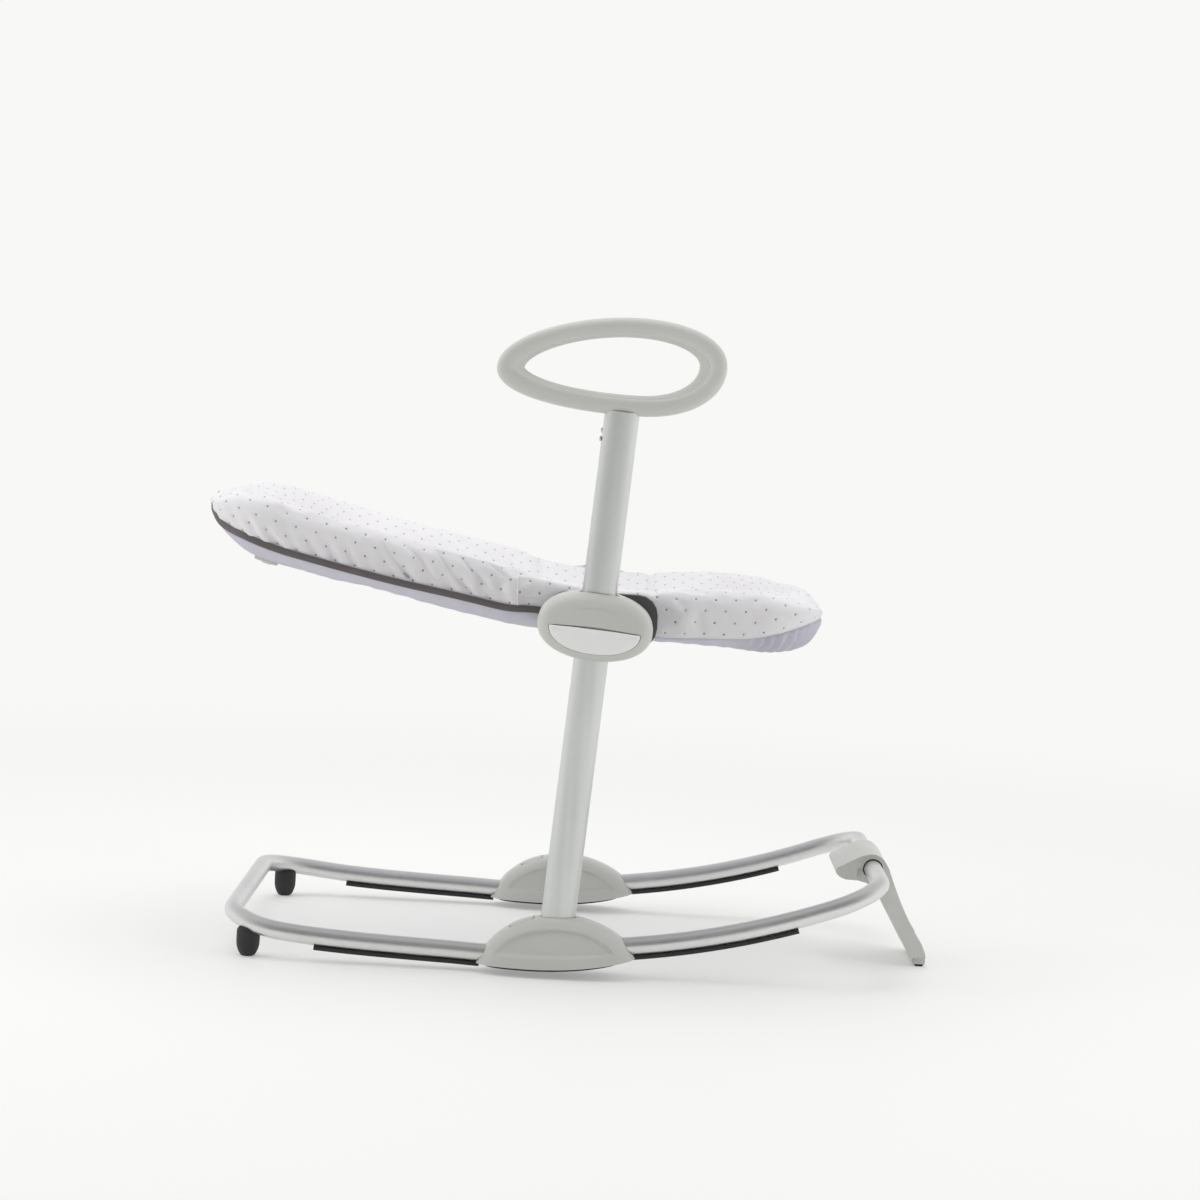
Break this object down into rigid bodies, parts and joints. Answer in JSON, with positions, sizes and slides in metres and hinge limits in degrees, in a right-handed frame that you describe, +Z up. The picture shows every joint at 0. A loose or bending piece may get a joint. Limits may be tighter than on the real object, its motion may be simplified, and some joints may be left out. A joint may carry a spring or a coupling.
{
  "type": "baby bouncer seat",
  "caption": "Baby bouncer: rocking tube base with a fold-out rear stand, leaning posts with ring handles, and a padded seat that slides up the posts and reclines.",
  "frame": {"origin": "on the floor, under the centre of the whole object's box", "axes": "+X towards the foot end of the seat, +Y to the child's left, +Z up"},
  "size_m": [0.912, 0.509, 0.786],
  "materials": {
    "base_tube_metal": "satin, brushed along the tube",
    "post_metal": "satin anodised, brushed along the post",
    "frame_metal": "satin",
    "shell_plastic": "satin moulded, fine grain",
    "button_plastic": "satin moulded",
    "buckle_button_plastic": "satin moulded",
    "dark_plastic": "satin moulded, fine grain",
    "rubber": "matt",
    "steel": "zinc plated",
    "pad_fabric": "woven cotton with small printed dots",
    "sling_fabric": "plain polyester weave",
    "webbing": "woven webbing"
  },
  "bodies": {
    "base": {"front_base_tube": "base_tube_metal", "rear_base_tube": "base_tube_metal", "front_rocker_strip_right": "rubber", "front_rocker_strip_left": "rubber", "rear_rocker_strip_right": "rubber", "rear_rocker_strip_left": "rubber", "front_foot_right": "rubber", "front_foot_left": "rubber", "shoe_cover_right": "shell_plastic", "shoe_cover_left": "shell_plastic", "shoe_core_right": "dark_plastic", "shoe_core_left": "dark_plastic", "shoe_sole_right": "rubber", "shoe_sole_left": "rubber", "post_right": "post_metal", "post_left": "post_metal", "handle_plug_right": "dark_plastic", "handle_plug_left": "dark_plastic", "handle_outer_right": "shell_plastic", "handle_outer_left": "shell_plastic", "handle_inner_right": "shell_plastic", "handle_inner_left": "shell_plastic", "handle_screw_right": "steel", "handle_screw_left": "steel"},
    "carriage": {"carriage_outer_right": "shell_plastic", "carriage_outer_left": "shell_plastic", "carriage_inner_right": "shell_plastic", "carriage_inner_left": "shell_plastic", "guide_bush_right": "dark_plastic", "guide_bush_left": "dark_plastic", "button_spring_right": "steel", "button_spring_left": "steel", "latch_spring_right": "steel", "latch_spring_left": "steel"},
    "seat": {"hub_bracket_right": "dark_plastic", "hub_bracket_left": "dark_plastic", "pivot_pin_right": "steel", "pivot_pin_left": "steel", "seat_saddle_right": "shell_plastic", "seat_saddle_left": "shell_plastic", "seat_frame_tube": "frame_metal", "seat_pad": "pad_fabric", "sling": "sling_fabric", "recline_housing": "shell_plastic", "harness_webbing": "webbing", "buckle_housing": "dark_plastic"},
    "stand": {"stand_leg": "shell_plastic", "stand_clamp_cap": "shell_plastic", "stand_foot_pad": "rubber"},
    "recline_lever": {"recline_lever": "shell_plastic"},
    "buckle_button": {"buckle_button": "buckle_button_plastic"},
    "height_button_right": {"height_button_right": "button_plastic"},
    "latch_pin_right": {"latch_pin_right": "dark_plastic"},
    "post_release_button_right": {"post_release_button_right": "shell_plastic"},
    "recline_lock_pin_right": {"recline_lock_pin_right": "steel"},
    "height_button_left": {"height_button_left": "button_plastic"},
    "latch_pin_left": {"latch_pin_left": "dark_plastic"},
    "post_release_button_left": {"post_release_button_left": "shell_plastic"},
    "recline_lock_pin_left": {"recline_lock_pin_left": "steel"}
  },
  "joints": [
    {"name": "seat_height", "type": "slide", "parent": "base", "child": "carriage", "axis": [0.0724, 0, 0.9974], "range_m": [-0.085, 0.17]},
    {"name": "seat_recline", "type": "hinge", "parent": "carriage", "child": "seat", "pos_m": [0.02146, 0, 0.4206], "axis": [0, 1, 0], "range_deg": [0, 35]},
    {"name": "stand_fold", "type": "hinge", "parent": "base", "child": "stand", "pos_m": [0.38346, 0, 0.1212], "axis": [0, 1, 0], "range_deg": [0, 110]},
    {"name": "recline_lever_pull", "type": "slide", "parent": "seat", "child": "recline_lever", "axis": [-0.9621, 0, 0.2728], "range_m": [0, 0.004], "stiffness_N_per_m": 900, "springref_m": -0.002},
    {"name": "buckle_press", "type": "slide", "parent": "seat", "child": "buckle_button", "axis": [0, 0, -1], "range_m": [0, 0.0025], "stiffness_N_per_m": 900, "springref_m": -0.002},
    {"name": "height_press_right", "type": "slide", "parent": "carriage", "child": "height_button_right", "axis": [0, 1, 0], "range_m": [0, 0.004], "stiffness_N_per_m": 900, "springref_m": -0.002, "deforming": ["button_spring_right"]},
    {"name": "latch_slide_right", "type": "slide", "parent": "carriage", "child": "latch_pin_right", "axis": [-0.9974, 0, 0.0724], "range_m": [0, 0.004], "deforming": ["latch_spring_right"]},
    {"name": "post_release_press_right", "type": "slide", "parent": "base", "child": "post_release_button_right", "axis": [0.3601, 0, -0.9329], "range_m": [0, 0.0025], "stiffness_N_per_m": 900, "springref_m": -0.002},
    {"name": "recline_lock_slide_right", "type": "slide", "parent": "seat", "child": "recline_lock_pin_right", "axis": [0, 1, 0], "range_m": [0, 0.004]},
    {"name": "height_press_left", "type": "slide", "parent": "carriage", "child": "height_button_left", "axis": [0, -1, 0], "range_m": [0, 0.004], "stiffness_N_per_m": 900, "springref_m": -0.002, "deforming": ["button_spring_left"]},
    {"name": "latch_slide_left", "type": "slide", "parent": "carriage", "child": "latch_pin_left", "axis": [-0.9974, 0, 0.0724], "range_m": [0, 0.004], "deforming": ["latch_spring_left"]},
    {"name": "post_release_press_left", "type": "slide", "parent": "base", "child": "post_release_button_left", "axis": [0.3601, 0, -0.9329], "range_m": [0, 0.0025], "stiffness_N_per_m": 900, "springref_m": -0.002},
    {"name": "recline_lock_slide_left", "type": "slide", "parent": "seat", "child": "recline_lock_pin_left", "axis": [0, -1, 0], "range_m": [0, 0.004]}
  ],
  "couplings": [
    {"joint": "latch_slide_right", "follows": "height_press_right", "ratio": 1},
    {"joint": "recline_lock_slide_right", "follows": "recline_lever_pull", "ratio": 1},
    {"joint": "latch_slide_left", "follows": "height_press_left", "ratio": 1},
    {"joint": "recline_lock_slide_left", "follows": "recline_lever_pull", "ratio": 1}
  ]
}
